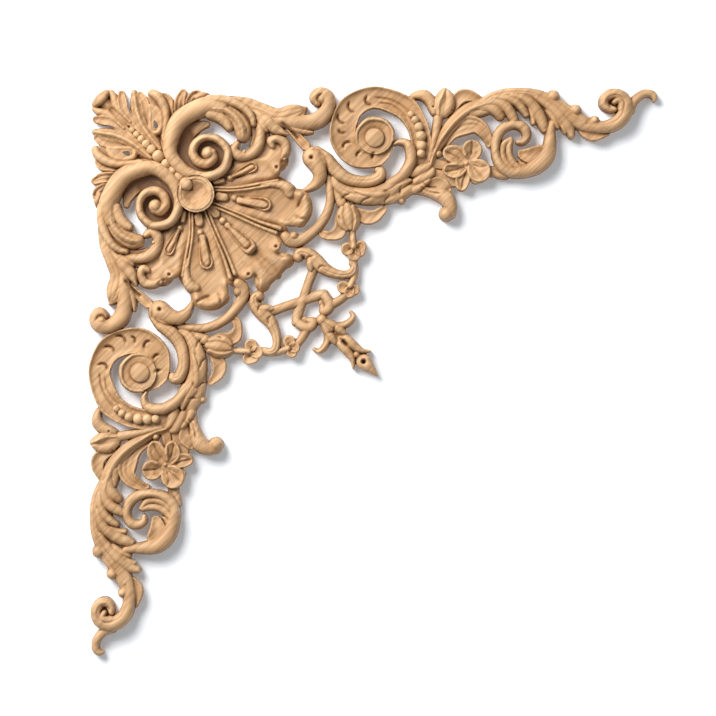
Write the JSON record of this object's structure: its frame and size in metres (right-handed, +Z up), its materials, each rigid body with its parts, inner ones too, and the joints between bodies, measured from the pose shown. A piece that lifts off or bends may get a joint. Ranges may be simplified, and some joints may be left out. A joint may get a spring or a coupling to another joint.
{
  "type": "carved wood corner applique",
  "caption": "L-shaped carved wood corner onlay with a fan shell, deep volutes, leafy scrolls and an inward pendant, flat at the back for gluing to a panel.",
  "frame": {"origin": "on the flat back, behind the centre of the fan shell where the two arms meet", "axes": "+Y out of the back into the wall; +X along the level arm, -Z along the hanging arm, +Z up"},
  "size_m": [0.4541, 0.022, 0.4543],
  "materials": {
    "wood": "bare sanded light hardwood, satin, with fine straight grain"
  },
  "bodies": {
    "root": {"corner_applique": "wood"}
  },
  "joints": []
}
